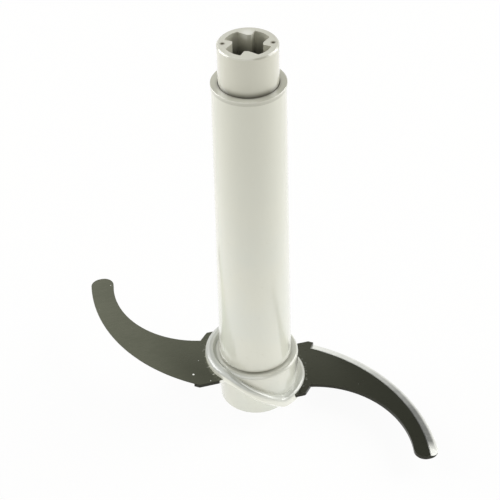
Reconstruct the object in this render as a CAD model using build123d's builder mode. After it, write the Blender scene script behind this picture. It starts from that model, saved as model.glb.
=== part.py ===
from build123d import *
import math
import os

os.makedirs("parts", exist_ok=True)

# Whole part, in millimetres. The origin is the middle of the foot's face, with +Z up the stem
# and X along the blade tabs.
total_height = 125.3
shoulder_height = 17.3
neck_rise = 11.5
sleeve_seat_lift = 0.7

# Core: neck, inner tube, collar and foot, moulded as one piece round the blade roots
neck_radius = 8.1
neck_edge_chamfer = 0.35
spigot_gap = 0.1
spigot_height = 5.0
land_setback = 0.7
foot_step = 0.1
foot_edge_chamfer = 0.4
collar_step = 2.1
collar_edge_round = 0.9

# Sleeve: a plain tapered tube with a narrow lip at its top end, where a closer mouth steadies it
# on the neck
sleeve_bore_gap = 0.6
sleeve_mouth_gap = 0.15
sleeve_mouth_height = 3.0
sleeve_top_wall = 1.3
sleeve_taper = 1.0
lip_overhang = 0.15
lip_height = 1.1
lip_chamfer = 0.1

# Flange: a rounded rim that steps down from the upper blade to the lower one along two ramps.
# The front ramp is shifted to -X and the back one to +X, because each starts beside the cutting
# edge of a blade.
flange_overhang = 2.3
flange_width = 3.2
flange_thickness = 3.8
flange_top_round = 1.4
flange_underside_chamfer = 0.9
flange_inner_chamfer = 0.8
upper_rim_rise = 0.3
lower_rim_drop = 1.2
ramp_shift = 2.8
ramp_end_margin = 1.6
ramp_bend_reach = 1.3

# Drive socket in the neck, with four pointed teeth that lean to one side
socket_wall = 1.85
socket_depth = 16.0
socket_turn = -15.0
tooth_count = 4
tooth_height = 2.3
tooth_long_side = 3.5
tooth_short_side = 2.05
tooth_tip_width = 1.05
tooth_tip_shift = 0.45
tooth_tip_round = 0.35
vent_radius = 0.45
vent_depth = 1.5
vent_setback = 0.25

# Bearing bore in the foot, and the lighter bore above it
bearing_radius = 5.5
bearing_depth = 30.0
bearing_mouth_chamfer = 0.6
relief_step = 0.3
bulkhead_thickness = 8.0

# Blades: one outline used twice, the upper one turned by half a turn and ground from below
blade_thickness = 1.2
lower_blade_top = 6.5
upper_blade_cover = 1.4
cutting_arc_crest = (-11.2, 18.6)
cutting_arc_radius = 54.7
back_arc_crest = (7.8, -8.7)
arc_radius_step = 26.1
tip_drop = 10.2
tip_round = 3.3
tab_front = 8.9
tab_back = 12.5
tab_back_reach = 12.3
tab_inner_reach = 8.5
tab_corner_round = 0.8
arm_cover = 0.4
ring_cover = 1.0
ring_hole_wall = 1.7
bevel_width = 2.6
bevel_start_angle = 53.5
edge_land = 0.15

# Radii that follow from the sizes above
sleeve_bore_radius = neck_radius + sleeve_bore_gap
sleeve_mouth_radius = neck_radius + sleeve_mouth_gap
spigot_radius = sleeve_bore_radius - spigot_gap
sleeve_top_radius = sleeve_bore_radius + sleeve_top_wall
sleeve_base_radius = sleeve_top_radius + sleeve_taper
lip_radius = sleeve_top_radius + lip_overhang
land_radius = sleeve_base_radius - land_setback
foot_radius = sleeve_base_radius + foot_step
collar_radius = sleeve_base_radius + collar_step
flange_radius = collar_radius + flange_overhang
flange_inner_radius = flange_radius - flange_width
socket_radius = neck_radius - socket_wall
tooth_tip_radius = socket_radius - tooth_height
vent_circle_radius = socket_radius + vent_setback
relief_radius = bearing_radius - relief_step
ring_radius = foot_radius - ring_cover
ring_hole_radius = bearing_radius + ring_hole_wall

# Heights that follow
sleeve_base_height = shoulder_height + sleeve_seat_lift
sleeve_top_height = total_height - neck_rise
sleeve_mouth_base_height = sleeve_top_height - sleeve_mouth_height
socket_floor_height = total_height - socket_depth
relief_top_height = socket_floor_height - bulkhead_thickness
upper_blade_top = shoulder_height - upper_blade_cover

# Middle line of the rim
upper_rim_height = upper_blade_top + upper_rim_rise
lower_rim_height = lower_blade_top - lower_rim_drop
ramp_middle_height = (upper_rim_height + lower_rim_height) / 2
ramp_half_drop = (upper_rim_height - lower_rim_height) / 2
ramp_half_run = flange_inner_radius - ramp_shift - ramp_end_margin
ramp_angle = math.atan(ramp_half_drop / ramp_half_run)
ramp_bend_radius = ramp_bend_reach / math.tan(ramp_angle / 2)
band_reach = flange_radius + flange_thickness

# Arcs of the blade's arm
arm_start = flange_radius - arm_cover
back_arc_radius = cutting_arc_radius - arc_radius_step
cutting_arc_centre = (cutting_arc_crest[0], cutting_arc_crest[1] - cutting_arc_radius)
back_arc_centre = (back_arc_crest[0], back_arc_crest[1] - back_arc_radius)
tip_reach = tip_drop - back_arc_centre[1]

# Angle from the start of the ground edge to the end of the tip, seen from the middle of its arc
bevel_end_sine = (tip_reach + cutting_arc_centre[1]) / (cutting_arc_radius - bevel_width)
bevel_run = bevel_start_angle + math.degrees(math.asin(bevel_end_sine))


def rim_height(x, y):
    """Height of the middle line of the rim over the point x, y."""
    middle = math.copysign(ramp_shift, y)
    along = (x - middle) / ramp_half_run
    return ramp_middle_height - ramp_half_drop * max(-1, min(1, along))


def ramp_line(side, rise):
    """Corner points of the rim line, raised by rise, with side -1 for the front and 1 for the back."""
    high_bend = side * ramp_shift - ramp_half_run
    low_bend = side * ramp_shift + ramp_half_run
    return [
        (-band_reach, upper_rim_height + rise),
        (high_bend, upper_rim_height + rise),
        (low_bend, lower_rim_height + rise),
        (band_reach, lower_rim_height + rise),
    ]


def edges_on_circle(part, radius):
    """Curved edges of a part whose middle lies at a radius from the stem's axis."""
    curved = [edge for edge in part.edges() if edge.geom_type != GeomType.LINE]
    middles = [(edge, edge.position_at(0.5)) for edge in curved]
    return [edge for edge, at in middles if abs(math.hypot(at.X, at.Y) - radius) < 0.02]


def is_above_rim(edge):
    """True for an edge over the middle line of the rim."""
    middle = edge.position_at(0.5)
    return middle.Z > rim_height(middle.X, middle.Y)


# Blade outline: a tapering arm between two arcs, joined to a tab and a ring round the core
with BuildSketch() as arm_outline:
    with Locations(cutting_arc_centre):
        Circle(cutting_arc_radius)
    with Locations(back_arc_centre):
        Circle(back_arc_radius, mode=Mode.SUBTRACT)
    with Locations((arm_start, -tip_reach)):
        Rectangle(
            cutting_arc_radius,
            tip_reach + tab_front,
            align=(Align.MIN, Align.MIN),
            mode=Mode.INTERSECT,
        )
    fillet(arm_outline.vertices().group_by(Axis.Y)[0], tip_round)

# Where the back of the arm meets the tab, on the back arc
arm_back_y = back_arc_centre[1] + math.sqrt(back_arc_radius**2 - (arm_start - back_arc_centre[0]) ** 2)

with BuildSketch() as blade_outline:
    with BuildLine():
        Polyline(
            (0, tab_front),
            (arm_start, tab_front),
            (arm_start, arm_back_y),
            (tab_back_reach, -tab_back),
            (tab_inner_reach, -tab_back),
            (0, -ring_radius),
            close=True,
        )
    make_face()
    tab_corner = blade_outline.vertices().group_by(Axis.Y)[0].sort_by(Axis.X)[-1]
    fillet(tab_corner, tab_corner_round)
    Circle(ring_radius)
    add(arm_outline.sketch)
    Circle(ring_hole_radius, mode=Mode.SUBTRACT)


# Plane through the middle of the cutting arc, at the start of the ground edge
grinding_plane = Plane(
    (*cutting_arc_centre, 0),
    x_dir=Vector(1, 0, 0).rotate(Axis.Z, bevel_start_angle),
    z_dir=Vector(0, -1, 0).rotate(Axis.Z, bevel_start_angle),
)

# What grinding from above takes off a blade whose underside is at z = 0
with BuildPart() as ground_wedge:
    with BuildSketch(grinding_plane):
        with BuildLine():
            Polyline(
                (cutting_arc_radius - bevel_width, blade_thickness),
                (cutting_arc_radius, edge_land),
                (cutting_arc_radius + bevel_width, edge_land),
                (cutting_arc_radius + bevel_width, 2 * blade_thickness),
                (cutting_arc_radius - bevel_width, 2 * blade_thickness),
                close=True,
            )
        make_face()
    revolve(axis=Axis(grinding_plane.origin, (0, 0, -1)), revolution_arc=bevel_run)

wedge_from_below = ground_wedge.part.mirror(Plane.XY.offset(blade_thickness / 2))

with BuildPart() as lower_blade:
    with BuildSketch(Plane.XY.offset(lower_blade_top - blade_thickness)):
        add(blade_outline.sketch)
    extrude(amount=blade_thickness)
    with Locations((0, 0, lower_blade_top - blade_thickness)):
        add(ground_wedge.part, mode=Mode.SUBTRACT)

with BuildPart() as upper_blade:
    with BuildSketch(Plane.XY.offset(upper_blade_top - blade_thickness)):
        add(blade_outline.sketch, rotation=180)
    extrude(amount=blade_thickness)
    with Locations(Location((0, 0, upper_blade_top - blade_thickness), (0, 0, 180))):
        add(wedge_from_below, mode=Mode.SUBTRACT)

# Collar: the wider part of the hub, which stands only above the underside of the rim
with BuildPart() as collar:
    for side in (-1, 1):
        with BuildSketch(Plane.XZ):
            with BuildLine():
                underside_corners = ramp_line(side, -flange_thickness / 2)
                underside = FilletPolyline(*underside_corners, radius=ramp_bend_radius)
                Polyline(
                    underside @ 1,
                    (band_reach, shoulder_height),
                    (-band_reach, shoulder_height),
                    underside @ 0,
                )
            make_face()
        extrude(amount=-side * band_reach)
    with BuildSketch():
        Circle(collar_radius)
    extrude(amount=shoulder_height, mode=Mode.INTERSECT)
    fillet(collar.faces().sort_by(Axis.Z)[-1].edges(), collar_edge_round)

# Rim: a band with the same ramps, cut to a ring and rounded
with BuildPart() as rim:
    for side in (-1, 1):
        with BuildSketch(Plane.XZ):
            with BuildLine():
                bottom_corners = ramp_line(side, -flange_thickness / 2)
                top_corners = ramp_line(side, flange_thickness / 2)
                bottom_line = FilletPolyline(*bottom_corners, radius=ramp_bend_radius)
                top_line = FilletPolyline(*top_corners, radius=ramp_bend_radius)
                Line(bottom_line @ 0, top_line @ 0)
                Line(bottom_line @ 1, top_line @ 1)
            make_face()
        extrude(amount=-side * band_reach)
    with BuildSketch():
        Circle(flange_radius)
        Circle(flange_inner_radius, mode=Mode.SUBTRACT)
    extrude(amount=sleeve_top_height, mode=Mode.INTERSECT)
    outer_edges = edges_on_circle(rim.part, flange_radius)
    fillet([e for e in outer_edges if is_above_rim(e)], flange_top_round)
    underside_edges = [e for e in edges_on_circle(rim.part, flange_radius) if not is_above_rim(e)]
    chamfer(underside_edges, flange_underside_chamfer)
    inner_edges = [e for e in edges_on_circle(rim.part, flange_inner_radius) if is_above_rim(e)]
    chamfer(inner_edges, flange_inner_chamfer)

with BuildPart() as core:
    with BuildSketch(Plane.XZ):
        with BuildLine():
            Polyline(
                (0, 0),
                (foot_radius, 0),
                (foot_radius, shoulder_height),
                (land_radius, shoulder_height),
                (land_radius, sleeve_base_height),
                (spigot_radius, sleeve_base_height),
                (spigot_radius, sleeve_base_height + spigot_height),
                (neck_radius, sleeve_base_height + spigot_height),
                (neck_radius, total_height),
                (0, total_height),
                close=True,
            )
        make_face()
    revolve(axis=Axis.Z)
    chamfer(core.faces().sort_by(Axis.Z)[0].edges(), foot_edge_chamfer)
    chamfer(core.faces().sort_by(Axis.Z)[-1].edges(), neck_edge_chamfer)
    add(collar.part)
    add(rim.part)

    # Bore for the bowl's pin, open at the foot
    with BuildSketch():
        Circle(bearing_radius)
    extrude(amount=bearing_depth, mode=Mode.SUBTRACT)
    with BuildSketch(Plane.XY.offset(bearing_depth)):
        Circle(relief_radius)
    extrude(amount=relief_top_height - bearing_depth, mode=Mode.SUBTRACT)
    foot_face = core.faces().sort_by(Axis.Z)[0]
    chamfer(foot_face.edges().sort_by(SortBy.RADIUS)[0], bearing_mouth_chamfer)

    # Drive socket, open at the neck
    with BuildSketch(Plane.XY.offset(socket_floor_height)) as socket:
        Circle(socket_radius)
        with BuildSketch(mode=Mode.PRIVATE) as tooth:
            with BuildLine():
                Polyline(
                    (tooth_tip_radius, -tooth_tip_shift - tooth_tip_width / 2),
                    (tooth_tip_radius, -tooth_tip_shift + tooth_tip_width / 2),
                    (socket_radius, tooth_long_side),
                    (neck_radius, tooth_long_side),
                    (neck_radius, -tooth_short_side),
                    (socket_radius, -tooth_short_side),
                    close=True,
                )
            make_face()
            fillet(tooth.vertices().group_by(Axis.X)[0], tooth_tip_round)
        with PolarLocations(0, tooth_count, start_angle=socket_turn):
            add(tooth.sketch, mode=Mode.SUBTRACT)
    extrude(amount=socket_depth, mode=Mode.SUBTRACT)
    with BuildSketch(Plane.XY.offset(total_height - vent_depth)):
        with PolarLocations(vent_circle_radius, 2, start_angle=socket_turn):
            Circle(vent_radius)
    extrude(amount=vent_depth, mode=Mode.SUBTRACT)

    # The blades are held in the moulding, so their own shape is left free in it
    add([lower_blade.part, upper_blade.part], mode=Mode.SUBTRACT)

with BuildPart() as sleeve:
    with BuildSketch(Plane.XZ):
        with BuildLine():
            Polyline(
                (sleeve_bore_radius, sleeve_base_height),
                (sleeve_base_radius, sleeve_base_height),
                (sleeve_top_radius, sleeve_top_height - lip_height),
                (lip_radius, sleeve_top_height - lip_height),
                (lip_radius, sleeve_top_height),
                (sleeve_mouth_radius, sleeve_top_height),
                (sleeve_mouth_radius, sleeve_mouth_base_height),
                (sleeve_bore_radius, sleeve_mouth_base_height),
                close=True,
            )
        make_face()
    revolve(axis=Axis.Z)
    chamfer(edges_on_circle(sleeve.part, lip_radius), lip_chamfer)

core.part.label = "core"
sleeve.part.label = "sleeve"
lower_blade.part.label = "lower_blade"
upper_blade.part.label = "upper_blade"

export_step(core.part, "parts/core.step")
export_step(sleeve.part, "parts/sleeve.step")
export_step(lower_blade.part, "parts/lower_blade.step")
export_step(upper_blade.part, "parts/upper_blade.step")
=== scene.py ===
import math
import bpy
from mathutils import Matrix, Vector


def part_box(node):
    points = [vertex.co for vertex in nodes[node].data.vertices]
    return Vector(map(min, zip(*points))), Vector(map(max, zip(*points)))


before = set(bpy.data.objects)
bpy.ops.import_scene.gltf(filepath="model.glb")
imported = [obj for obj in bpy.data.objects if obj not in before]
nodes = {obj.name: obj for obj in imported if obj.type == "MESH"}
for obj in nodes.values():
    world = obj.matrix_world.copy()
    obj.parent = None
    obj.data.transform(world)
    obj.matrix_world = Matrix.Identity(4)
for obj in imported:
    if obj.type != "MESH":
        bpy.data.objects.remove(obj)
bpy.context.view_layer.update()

from types import SimpleNamespace

import bmesh
import bpy
from mathutils import Matrix, Vector

print("frame loaded:", ", ".join(sorted(nodes)))

# the sleeve's ends, the top of the neck and the outside of the hub's rim
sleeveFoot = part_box("sleeve")[0].z
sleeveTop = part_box("sleeve")[1].z
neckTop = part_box("core")[1].z
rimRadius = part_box("core")[1].x


# a socket that can be used in plain sums
class Wire:
    def __init__(self, tree, socket=None):
        self.tree = tree
        self.socket = socket

    # the settings go in first, because some of them change the sockets
    def node(self, kind, settings=None, inputs=None, out=0):
        made = self.tree.nodes.new(kind)
        for name, value in (settings or {}).items():
            setattr(made, name, value)
        for name, value in (inputs or {}).items():
            if isinstance(value, Wire):
                self.tree.links.new(value.socket, made.inputs[name])
            else:
                made.inputs[name].default_value = value
        return Wire(self.tree, made.outputs[out] if len(made.outputs) else None)

    def calc(self, operation, first, second=0.0):
        return self.node("ShaderNodeMath", {"operation": operation}, {0: first, 1: second})

    def __add__(self, other):
        return self.calc("ADD", self, other)

    def __radd__(self, other):
        return self.calc("ADD", other, self)

    def __sub__(self, other):
        return self.calc("SUBTRACT", self, other)

    def __rsub__(self, other):
        return self.calc("SUBTRACT", other, self)

    def __mul__(self, other):
        return self.calc("MULTIPLY", self, other)

    def __rmul__(self, other):
        return self.calc("MULTIPLY", other, self)

    def size(self):
        return self.calc("ABSOLUTE", self)

    def larger(self, other):
        return self.calc("MAXIMUM", self, other)

    # 0 up to the first value and 1 from the second on, whichever of the two is larger
    def between(self, first, second):
        return self.node(
            "ShaderNodeMapRange",
            {"interpolation_type": "SMOOTHSTEP"},
            {"Value": self, "From Min": first, "From Max": second, "To Min": 0.0, "To Max": 1.0},
        )

    # the middle values of a grain, where most of it lies, spread over 0 to 1
    def stretched(self):
        return self.between(0.35, 0.65)

    def pick(self, first, second):
        return self.node("ShaderNodeMix", {"data_type": "RGBA"}, {0: self, 6: first, 7: second}, out=2)

    # shaders blended by this share
    def blend(self, first, second):
        return self.node("ShaderNodeMixShader", None, {0: self, 1: first, 2: second})

    def coords(self, kind):
        return self.node("ShaderNodeTexCoord", out=kind)

    def vector(self, operation, other, out="Vector"):
        return self.node("ShaderNodeVectorMath", {"operation": operation}, {0: self, 1: other}, out=out)

    def farFrom(self, point):
        return self.vector("DISTANCE", point, out="Value")

    # distance from the line through the middle of the stem
    def fromAxis(self):
        return self.vector("MULTIPLY", (1.0, 1.0, 0.0)).farFrom((0.0, 0.0, 0.0))

    def axes(self):
        first = self.node("ShaderNodeSeparateXYZ", None, {"Vector": self})
        return [Wire(self.tree, socket) for socket in first.socket.node.outputs]

    def grain(self, scale, detail=2.0, roughness=0.5):
        return self.node(
            "ShaderNodeTexNoise",
            {"noise_dimensions": "3D"},
            {"Vector": self, "Scale": scale, "Detail": detail, "Roughness": roughness},
        )


# a colour as it looks on a screen, 0 to 255, turned into the shader's own scale
def toneOf(red, green, blue):
    def straight(value):
        value = value / 255
        return value / 12.92 if value <= 0.04045 else ((value + 0.055) / 1.055) ** 2.4

    return (straight(red), straight(green), straight(blue), 1.0)


# a tone laid over a colour where the mask is above 0
def layOver(colour, mask, tone):
    return mask.pick(colour, toneOf(*tone))


def newFinish(name):
    made = bpy.data.materials.new(name)
    made.use_nodes = True
    made.node_tree.nodes.clear()
    return made, Wire(made.node_tree)


def closeFinish(tree, inputs):
    shader = tree.node("ShaderNodeBsdfPrincipled", None, inputs)
    tree.node("ShaderNodeOutputMaterial", None, {"Surface": shader})


def dress(name, finish):
    for slot in nodes[name].material_slots:
        slot.material = finish


# camera, in metres and degrees
cameraSetup = {
    "turn": 15.0,            # from the picture plane to the line of the blades
    "back": 0.294106,        # from the stem's axis
    "height": 0.301823,
    "yaw": -0.160514,
    "pitch": 39.823604,
    "roll": -1.527695,
    "lens": 95.7265,         # in millimetres, as the sensor is
    "sensor": 36.0,
    "nearest": 0.01,         # what is closer to the camera isn't drawn
}
viewTurn = math.radians(cameraSetup["turn"])


def setCamera(setup):
    yaw, pitch, roll = (math.radians(setup[key]) for key in ("yaw", "pitch", "roll"))
    forward = math.cos(pitch)
    ahead = Vector((math.sin(yaw) * forward, math.cos(yaw) * forward, -math.sin(pitch)))
    level = ahead.cross(Vector((0, 0, 1))).normalized()
    up = level.cross(ahead)
    right = math.cos(roll) * level + math.sin(roll) * up
    top = -math.sin(roll) * level + math.cos(roll) * up
    aim = Matrix((right, top, -ahead)).transposed().to_4x4()
    lens = bpy.data.cameras.new("camera")
    lens.lens = setup["lens"]
    lens.sensor_width = setup["sensor"]
    lens.clip_start = setup["nearest"]
    camera = bpy.data.objects.new("camera", lens)
    bpy.context.scene.collection.objects.link(camera)
    spin = Matrix.Rotation(-viewTurn, 4, "Z")
    camera.matrix_world = spin @ Matrix.Translation((0, -setup["back"], setup["height"])) @ aim
    bpy.context.scene.camera = camera


setCamera(cameraSetup)
print("camera set")


# floor under the part
floorSetup = {
    "size": 6.0,
    "drop": 0.0002,              # below the foot, so that the two faces don't coincide
    "tone": (250, 250, 246),
    "paperGrain": 3.0,
    "paperShade": 3,             # how much darker the paper is in places, out of 255
    "glow": 0.94,                # share of the floor that is plain white in the picture
    "tableLight": 2.4,           # the table under the part is lit from below
    "tableNear": 0.42,           # how much of it shines close to the part, and further off
    "tableFar": 0.10,
    "tableReach": (0.34, 0.07),  # from the axis, where far ends and near begins
}

# room round the part, with its heights on a sphere of radius 1
roomSetup = {
    "light": 0.70,
    "tone": (255, 254, 248),
    "frontShare": 0.85,          # light from the camera's side, against the light from behind
    "frontEdges": (-0.2, 0.8),
    "ceilingShare": 0.10,        # light from overhead, against the light from the walls
    "ceilingEdges": (0.66, 0.97),
    "wallLight": 1.0,            # the room that is seen has white walls, and the upper room above them
    "wallEdges": (0.36, 0.56),
    "upperLeft": 2.3,            # how bright the upper room is where the left blade mirrors it
    "upperRight": 0.02,
    "upperEdges": (0.02, 0.25),  # along x, from the left part to the right one
}

# sides are degrees round from the way the camera looks, positive to the right
lampSetup = {
    "left": {"side": -72.0, "reach": 0.70, "height": 0.47, "size": (0.5, 0.45), "power": 3.4},
    "right": {"side": 72.0, "reach": 0.70, "height": 0.47, "size": (0.5, 0.45), "power": 3.6},
}
lampAim = (0.0, 0.0, 0.05)


# 1 for the rays that see the room itself, straight or in a gloss, and 0 for those that light the part
def seenRays(tree):
    names = ("Is Camera Ray", "Is Glossy Ray", "Is Transmission Ray")
    straight, gloss, glass = (tree.node("ShaderNodeLightPath", out=name) for name in names)
    return straight.larger(gloss).larger(glass)


def setFloor(setup):
    made = bmesh.new()
    half = setup["size"] / 2
    for x, y in ((-half, -half), (half, -half), (half, half), (-half, half)):
        made.verts.new((x, y, 0))
    made.faces.new(made.verts)
    mesh = bpy.data.meshes.new("floor")
    made.to_mesh(mesh)
    made.free()
    floor = bpy.data.objects.new("floor", mesh)
    bpy.context.scene.collection.objects.link(floor)
    floor.location.z = -setup["drop"]

    finish, tree = newFinish("studio_floor")
    place = tree.coords("Object")
    shaded = [value - setup["paperShade"] for value in setup["tone"]]
    paper = place.grain(setup["paperGrain"]).pick(toneOf(*setup["tone"]), toneOf(*shaded))
    matt = tree.node("ShaderNodeBsdfDiffuse", None, {"Color": paper})
    white = tree.node("ShaderNodeEmission", None, {"Strength": 1.0})
    lit = tree.node("ShaderNodeEmission", None, {"Strength": setup["tableLight"]})
    near = place.farFrom((0.0, 0.0, 0.0)).between(*setup["tableReach"])
    share = setup["tableFar"] + near * (setup["tableNear"] - setup["tableFar"])
    shown = tree.node("ShaderNodeMixShader", None, {0: setup["glow"], 1: matt, 2: white})
    both = seenRays(tree).blend(share.blend(matt, lit), shown)
    tree.node("ShaderNodeOutputMaterial", None, {"Surface": both})
    mesh.materials.append(finish)


def setRoom(setup):
    world = bpy.data.worlds.new("room")
    bpy.context.scene.world = world
    world.use_nodes = True
    world.node_tree.nodes.clear()
    tree = Wire(world.node_tree)

    def glow(strength, tone=(255, 255, 255)):
        return tree.node("ShaderNodeBackground", None, {"Color": toneOf(*tone), "Strength": strength})

    # the light that falls on the part
    x, y, z = tree.coords("Generated").axes()
    ahead = x * math.sin(viewTurn) + y * math.cos(viewTurn)
    front = (0.0 - ahead).between(*setup["frontEdges"])
    ceiling = z.between(*setup["ceilingEdges"])
    share = (1.0 - front * (1 - setup["frontShare"])) * (1.0 - ceiling * (1 - setup["ceilingShare"]))
    light = share.blend(glow(0.0), glow(setup["light"], setup["tone"]))
    # the room as it is seen and mirrored
    upper = x.between(*setup["upperEdges"]).blend(glow(setup["upperLeft"]), glow(setup["upperRight"]))
    shown = z.between(*setup["wallEdges"]).blend(glow(setup["wallLight"]), upper)
    both = seenRays(tree).blend(light, shown)
    tree.node("ShaderNodeOutputWorld", None, {"Surface": both})


def setLamp(name, setup):
    data = bpy.data.lights.new(name, "AREA")
    data.shape = "RECTANGLE"
    data.size, data.size_y = setup["size"]
    data.energy = setup["power"]
    lamp = bpy.data.objects.new(name, data)
    bpy.context.scene.collection.objects.link(lamp)
    angle = math.radians(setup["side"]) + viewTurn
    lamp.location = (setup["reach"] * math.sin(angle), setup["reach"] * math.cos(angle), setup["height"])
    lamp.rotation_euler = (Vector(lampAim) - lamp.location).to_track_quat("-Z", "Y").to_euler()
    lamp.visible_camera = False


setFloor(floorSetup)
setRoom(roomSetup)
for lampName, lampValues in lampSetup.items():
    setLamp("lamp_" + lampName, lampValues)
bpy.context.scene.view_settings.view_transform = "Standard"
print("studio set")


# moulded plastic, the same for the core and the sleeve; grains are in cells a metre
plasticSetup = {
    "tone": (216, 216, 204),
    "coolTone": (212, 214, 205),
    "cloudGrain": 55.0,
    "speckTone": (190, 187, 168),
    "speckGrain": 900.0,
    "speckEdges": (0.66, 0.74),
    "speckShare": 0.18,
    "skinGrain": 2600.0,             # fineness of the moulded skin
    "swirlGrain": 160.0,
    "swirlStretch": (1.0, 1.0, 0.25),
    "roughness": 0.24,
    "skinRough": 0.10,
    "cloudRough": 0.08,
    "coat": 1.0,
    "coatRoughness": 0.15,
    "bump": 0.25,
    "bumpHeight": 0.00004,
    "skinBump": 0.5,
    "swirlBump": 0.8,
    "upwardEdges": (0.15, 0.60),     # how far a face looks up where it counts as a top face
    "frontShadeSide": -105.0,              # painted shade lies thickest on this side of the stem, its front, degrees round from x
    "frontShadeEdges": (-0.005, 0.0085),
}


# the last two arguments are the function that lays a piece's own painted shade and painted light over
# the plastic, and its values
def mouldedPlastic(name, setup, paintedShading, shadingSetup):
    finish, tree = newFinish(name)
    place = tree.coords("Object")
    x, y, z = place.axes()
    side = math.radians(setup["frontShadeSide"])
    spot = SimpleNamespace(
        place=place,
        x=x,
        z=z,
        reach=place.fromAxis(),
        upward=tree.coords("Normal").axes()[2].between(*setup["upwardEdges"]),
        # the front of the stem, where the painted shade is heavier
        frontShade=(x * math.cos(side) + y * math.sin(side)).between(*setup["frontShadeEdges"]),
    )
    cloud = place.grain(setup["cloudGrain"], detail=3.0)
    colour = cloud.stretched().pick(toneOf(*setup["tone"]), toneOf(*setup["coolTone"]))
    speck = place.grain(setup["speckGrain"]).between(*setup["speckEdges"])
    colour = layOver(colour, speck * setup["speckShare"], setup["speckTone"])
    colour = paintedShading(colour, spot, shadingSetup)
    skin = place.grain(setup["skinGrain"], detail=3.0)
    swirl = place.vector("MULTIPLY", setup["swirlStretch"]).grain(setup["swirlGrain"])
    rough = setup["roughness"] + (skin - 0.5) * setup["skinRough"] + (cloud - 0.5) * setup["cloudRough"]
    bumps = {
        "Strength": setup["bump"],
        "Distance": setup["bumpHeight"],
        "Height": skin * setup["skinBump"] + swirl * setup["swirlBump"],
    }
    inputs = {
        "Base Color": colour,
        "Roughness": rough,
        "Normal": tree.node("ShaderNodeBump", None, bumps),
        "Coat Weight": setup["coat"],
        "Coat Roughness": setup["coatRoughness"],
    }
    closeFinish(tree, inputs)
    return finish


# share of painted shade: the first value all round, with the second added to it on the front of the stem
def frontShadeShare(spot, shares):
    allRound, more = shares
    return allRound + spot.frontShade * more


# painted shade and painted light on the core; a pair of places, in metres, is where a mark begins and
# where it is full
coreSetup = {
    "neckHeight": (0.050, 0.060),    # hidden in the sleeve, where the neck's painted shade takes over
    "neckTone": (201, 200, 186),
    "topDepth": (0.00015, 0.0),      # depths are measured down from the top of the neck
    "topTone": (224, 224, 213),
    "topShare": 0.6,
    "toothPlace": (0.0013, 0.0050),  # where the painted highlight on the end of one tooth lies
    "toothDepth": 0.0003,
    "toothReach": (0.0024, 0.0004),
    "toothTone": (242, 242, 236),
    "toothShare": 0.8,
    "holeAngle": -15.0,              # the two tiny blind holes in the neck's end
    "holeRadius": 0.0065,
    "holeReach": (0.00095, 0.00045),
    "holeTone": (104, 96, 78),
    "holeShare": 0.6,
    "jointRise": (0.0026, 0.0),      # up from the sleeve, where the neck comes out of it
    "jointReach": (0.0074, 0.0078),
    "jointTone": (84, 82, 72),
    "jointShare": (0.30, 0.62),      # of painted shade, all round and added on the front
    "grooveDrop": (0.0020, 0.0010),  # down from the sleeve's foot
    "grooveReach": (0.0117, 0.0111),
    "grooveTone": (122, 120, 108),
    "grooveShare": (0.12, 0.16),
    "rimReach": (0.0132, 0.0138),
    "rimTone": (176, 180, 176),
    "rimShare": (0.20, 0.55),        # of painted shade, all round, and added to it on the left
    "scuffedSide": (0.004, -0.010),  # along x
    "shoulderReach": (0.0116, 0.0122),
    "shoulderShare": 0.55,
    "rimSideTone": (232, 232, 222),
    "rimSideShare": 0.6,
    "socketDepth": (0.0007, 0.0075),
    "socketReach": (0.00645, 0.0062),
    "socketTone": (80, 80, 70),
    "socketShare": 0.85,
}


def corePaintedShading(colour, spot, setup):
    neck = spot.z.between(*setup["neckHeight"])
    hub = 1.0 - neck
    depth = neckTop - spot.z
    # painted shade: the neck is painted darker than the hub
    colour = layOver(colour, neck, setup["neckTone"])
    # painted light: the neck's top face is painted lighter
    colour = layOver(colour, depth.between(*setup["topDepth"]) * setup["topShare"], setup["topTone"])
    # painted highlight on the end of one tooth
    toothEnd = (*setup["toothPlace"], neckTop - setup["toothDepth"])
    toothGlint = spot.place.farFrom(toothEnd).between(*setup["toothReach"])
    colour = layOver(colour, toothGlint * setup["toothShare"], setup["toothTone"])
    angle = math.radians(setup["holeAngle"])
    for radius in (-setup["holeRadius"], setup["holeRadius"]):
        hole = (radius * math.cos(angle), radius * math.sin(angle), neckTop)
        # painted shade in and round each hole
        shadingMask = spot.place.farFrom(hole).between(*setup["holeReach"])
        colour = layOver(colour, shadingMask * setup["holeShare"], setup["holeTone"])

    # painted shade where the neck comes out of the sleeve, heavier on the front
    joint = (spot.z - sleeveTop).between(*setup["jointRise"])
    joint = joint * joint * spot.reach.between(*setup["jointReach"]) * neck
    colour = layOver(colour, joint * frontShadeShare(spot, setup["jointShare"]), setup["jointTone"])
    # painted shade in the groove under the sleeve's foot, heavier on the front
    groove = (sleeveFoot - spot.z).between(*setup["grooveDrop"])
    groove = groove * spot.reach.between(*setup["grooveReach"]) * hub
    colour = layOver(colour, groove * frontShadeShare(spot, setup["grooveShare"]), setup["grooveTone"])

    # painted shade on top of the rim and the collar's shoulder, heavier on the left, and painted light
    # round the rim's side
    rim = spot.reach.between(*setup["rimReach"])
    leftShade = spot.x.between(*setup["scuffedSide"])
    allRound, more = setup["rimShare"]
    colour = layOver(colour, rim * spot.upward * (allRound + leftShade * more), setup["rimTone"])
    shoulder = spot.reach.between(*setup["shoulderReach"]) * (1.0 - rim) * hub * spot.upward * leftShade
    colour = layOver(colour, shoulder * setup["shoulderShare"], setup["rimTone"])
    # painted light round the rim's side
    rimSideLight = rim * (1.0 - spot.upward) * hub
    colour = layOver(colour, rimSideLight * setup["rimSideShare"], setup["rimSideTone"])

    # painted shade: the drive socket is painted darker with depth
    socket = depth.between(*setup["socketDepth"]) * spot.reach.between(*setup["socketReach"]) * neck
    return layOver(colour, socket * setup["socketShare"], setup["socketTone"])
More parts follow.
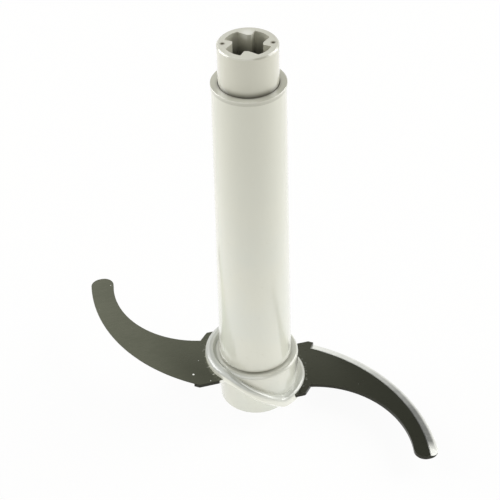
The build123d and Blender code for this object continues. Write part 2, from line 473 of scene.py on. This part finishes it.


# painted shade on the sleeve, with its pairs as the core's are
sleeveSetup = {
    "agedHeight": (0.030, 0.105),    # the upper part is painted a little darker, as painted shade
    "agedTone": (207, 207, 194),
    "agedShare": 0.9,
    "lipFoot": (0.0015, 0.0012),     # down from the sleeve's top
    "lipCrest": (0.0, 0.0006),
    "lipTone": (150, 148, 135),
    "lipShare": (0.18, 0.22),
    "mouthReach": (0.0090, 0.0083),
    "mouthShare": (0.20, 0.45),
    "footRise": (0.0009, 0.0001),    # up from the sleeve's foot
    "footTone": (108, 107, 96),
    "footShare": (0.10, 0.12),
}


def sleevePaintedShade(colour, spot, setup):
    upperShade = spot.z.between(*setup["agedHeight"])
    colour = layOver(colour, upperShade * setup["agedShare"], setup["agedTone"])
    # painted shade on the lip's wall, round the mouth and at the sleeve's foot, heavier on the front
    depth = sleeveTop - spot.z
    lip = depth.between(*setup["lipFoot"]) * depth.between(*setup["lipCrest"])
    colour = layOver(colour, lip * frontShadeShare(spot, setup["lipShare"]), setup["lipTone"])
    mouth = spot.reach.between(*setup["mouthReach"]) * spot.upward
    colour = layOver(colour, mouth * frontShadeShare(spot, setup["mouthShare"]), setup["lipTone"])
    foot = (spot.z - sleeveFoot).between(*setup["footRise"])
    return layOver(colour, foot * frontShadeShare(spot, setup["footShare"]), setup["footTone"])


dress("core", mouldedPlastic("core_moulding", plasticSetup, corePaintedShading, coreSetup))
dress("sleeve", mouldedPlastic("sleeve_moulding", plasticSetup, sleevePaintedShade, sleeveSetup))
print("plastic dressed")


# blade steel: rolled faces painted dark, as painted reflection of the dim room, sheared sides and a
# bright ground edge
steelSetup = {
    "roughness": 0.29,
    "streakRough": 0.10,
    "cloudRough": 0.06,
    "bump": 0.3,
    "bumpHeight": 0.00001,
    "flatEdges": (0.955, 0.985),         # how squarely a face looks up or down where it counts as flat
    "groundEdges": (0.70, 0.85),         # and where it counts as ground
    # the rolled faces; their tone is painted dark, as painted reflection of the dim room
    "tone": (87, 88, 76),
    "cloudGrain": 70.0,
    "cloudShare": 0.6,
    "streakTone": (77, 79, 67),
    "streakStretch": (0.06, 1.0, 1.0),
    "streakGrain": 5200.0,
    "streakShare": 0.4,
    "fleckTone": (196, 197, 188),
    "fleckGrain": 1500.0,
    "fleckEdges": (0.80, 0.84),
    "fleckShare": 0.5,
    "hubShadingReach": (0.034, 0.018),        # from the stem's axis
    "hubShadingInset": (0.016, 0.004),        # in from the cutting arc
    "brightSpotMiddle": 0.6,                   # share of a bright spot's radius that is fully bright
    "brightSpotShare": 0.9,
    "flashTone": (206, 206, 196),
    "flashReach": (0.0011, 0.0005),      # out from the rim
    "flashGrain": 1500.0,
    "flashEdges": (0.58, 0.66),
    "flashShare": 0.35,
    # the sheared sides
    "shearedTone": (56, 56, 49),
    "shearedGlintTone": (240, 240, 233),
    "shearedGlintReach": (0.0016, 0.0010),
    # the ground edge; places along the arc are in metres round it, and the tip is at -0.0115
    "groundTone": (240, 241, 234),
    "bevelShadeAndWearTone": (123, 124, 120),
    "arcCentre": (-0.0112, -0.0361),     # middle of the cutting arc of the lower blade
    "arcRadius": 0.0547,
    "lineGrain": 6500.0,
    "lineStretch": 0.05,
    "lineShare": 0.08,
    "wearGrain": 210.0,
    "wearShare": 0.10,
    "bevelShadeInset": (0.0001, 0.0012),
    "bevelShadeRun": (0.0511, -0.0010),        # from the tab to the most shaded place
    "tipRun": (-0.0104, -0.0052),        # painted bright up to the first, fully shaded from the second
    "bevelShadeShare": 0.92,
    "bevelBandInset": (0.0030, 0.0028),      # the bevel's painted colour ends here, past the bevel
    "bevelBandFacing": (0.5, 0.9),           # and lies only on the face with the bevel
    "bevelBandRun": (0.0515, 0.0507),
}

# the painted shading round the hub, the bright patch of painted reflection on the sheared edge beside
# the rim, and small bright spots
lowerBladeSetup = {
    "side": 1,
    # painted light round the hub on this blade
    "hubShadingTone": (110, 111, 98),
    "hubShadingShare": 0.30,
    "shearedGlint": (0.0131, 0.0100),
    "brightSpots": (),
}

# the same outline turned by half a turn, so the side is -1; a bright spot is its place and its radius
upperBladeSetup = {
    "side": -1,
    # painted shade round the hub on this blade
    "hubShadingTone": (58, 59, 49),
    "hubShadingShare": 0.50,
    "shearedGlint": (-0.0124, -0.0089),
    "brightSpots": (
        (-0.02064, -0.00410, 0.00038),
        (-0.01772, 0.00120, 0.00013),
        (-0.01632, -0.00815, 0.00015),
        (-0.03668, 0.04348, 0.00013),
    ),
}


# the flat faces as they were rolled, with flecks, flash, small bright spots and painted shading round
# the hub
def rolledSteel(place, inset, streaks, cloud, setup, blade, topFace):
    worn = streaks.stretched() * setup["streakShare"] + cloud * setup["cloudShare"]
    colour = worn.pick(toneOf(*setup["tone"]), toneOf(*setup["streakTone"]))
    fleck = place.grain(setup["fleckGrain"], detail=1.0).between(*setup["fleckEdges"])
    colour = layOver(colour, fleck * setup["fleckShare"], setup["fleckTone"])
    # painted shading that fades away from the hub, heavier along the cutting side: painted light on the
    # lower blade, painted shade on the upper
    reach = place.fromAxis()
    shadingMask = reach.between(*setup["hubShadingReach"]) * inset.between(*setup["hubShadingInset"])
    colour = layOver(colour, shadingMask * blade["hubShadingShare"], blade["hubShadingTone"])
    for x, y, radius in blade["brightSpots"]:
        brightSpot = place.farFrom((x, y, topFace)).between(radius, radius * setup["brightSpotMiddle"])
        colour = layOver(colour, brightSpot * setup["brightSpotShare"], setup["groundTone"])
    # thin flash of the moulding that was left on the steel beside the rim
    flash = (reach - rimRadius).between(*setup["flashReach"])
    flash = flash * place.grain(setup["flashGrain"]).between(*setup["flashEdges"])
    return layOver(colour, flash * setup["flashShare"], setup["flashTone"])


def bladeSteel(name, setup, blade):
    finish, tree = newFinish(name + "_steel")
    lowest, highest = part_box(name)
    place = tree.coords("Object")
    facingUp = tree.coords("Normal").axes()[2]
    level = facingUp.size()
    flat = level.between(*setup["flatEdges"])
    ground = (1.0 - flat) * level.between(*setup["groundEdges"])
    cloud = place.grain(setup["cloudGrain"], detail=3.0)
    streaks = place.vector("MULTIPLY", setup["streakStretch"])
    streaks = streaks.grain(setup["streakGrain"], detail=3.0, roughness=0.6)

    # how far along and across the cutting arc, so that the grinding lines cross the edge squarely
    side = blade["side"]
    onArc = place.vector("MULTIPLY", (side, side, 0.0)).vector("SUBTRACT", (*setup["arcCentre"], 0.0))
    across = onArc.farFrom((0.0, 0.0, 0.0))
    arcX, arcY, _ = onArc.axes()
    along = tree.calc("ARCTAN2", arcY, arcX) * setup["arcRadius"]
    inset = setup["arcRadius"] - across
    lines = tree.node("ShaderNodeCombineXYZ", None, {"X": along, "Y": across * setup["lineStretch"]})
    lines = lines.grain(setup["lineGrain"], detail=3.0)
    wear = tree.node("ShaderNodeCombineXYZ", None, {"X": along}).grain(setup["wearGrain"])

    # painted reflection: the ground edge is painted bright beside the tab and at its outer edge, darker
    # along the arm and bright again at the tip, with grinding lines and wear laid over it
    bevelShadeAndWear = along.between(*setup["bevelShadeRun"]) * along.between(*setup["tipRun"])
    bevelShadeAndWear = bevelShadeAndWear * inset.between(*setup["bevelShadeInset"]) * setup["bevelShadeShare"]
    bevelShadeAndWear = bevelShadeAndWear + lines.stretched() * setup["lineShare"] + wear.stretched() * setup["wearShare"]
    # the bevel's colour, with its painted reflection, is carried a little past the bevel onto the flat
    # of the blade
    bevelBand = inset.between(*setup["bevelBandInset"]) * (facingUp * side).between(*setup["bevelBandFacing"])
    bevelBand = bevelBand * along.between(*setup["bevelBandRun"])
    flat = flat * (1.0 - bevelBand)
    ground = ground.larger(bevelBand)

    rolled = rolledSteel(place, inset, streaks, cloud, setup, blade, highest.z)
    polished = bevelShadeAndWear.pick(toneOf(*setup["groundTone"]), toneOf(*setup["bevelShadeAndWearTone"]))
    middle = (lowest.z + highest.z) / 2
    # painted reflection: a bright patch on the sheared edge beside the rim
    shearedGlint = place.farFrom((*blade["shearedGlint"], middle)).between(*setup["shearedGlintReach"])
    sheared = shearedGlint.pick(toneOf(*setup["shearedTone"]), toneOf(*setup["shearedGlintTone"]))
    colour = flat.pick(ground.pick(sheared, polished), rolled)
    rough = setup["roughness"] + (streaks - 0.5) * setup["streakRough"]
    rough = rough + (cloud - 0.5) * setup["cloudRough"]
    bumps = {
        "Strength": setup["bump"],
        "Distance": setup["bumpHeight"],
        "Height": streaks * flat + lines * ground,
    }
    normal = tree.node("ShaderNodeBump", None, bumps)
    closeFinish(tree, {"Base Color": colour, "Roughness": rough, "Metallic": 1.0, "Normal": normal})
    return finish


dress("lower_blade", bladeSteel("lower_blade", steelSetup, lowerBladeSetup))
dress("upper_blade", bladeSteel("upper_blade", steelSetup, upperBladeSetup))
print("steel dressed")
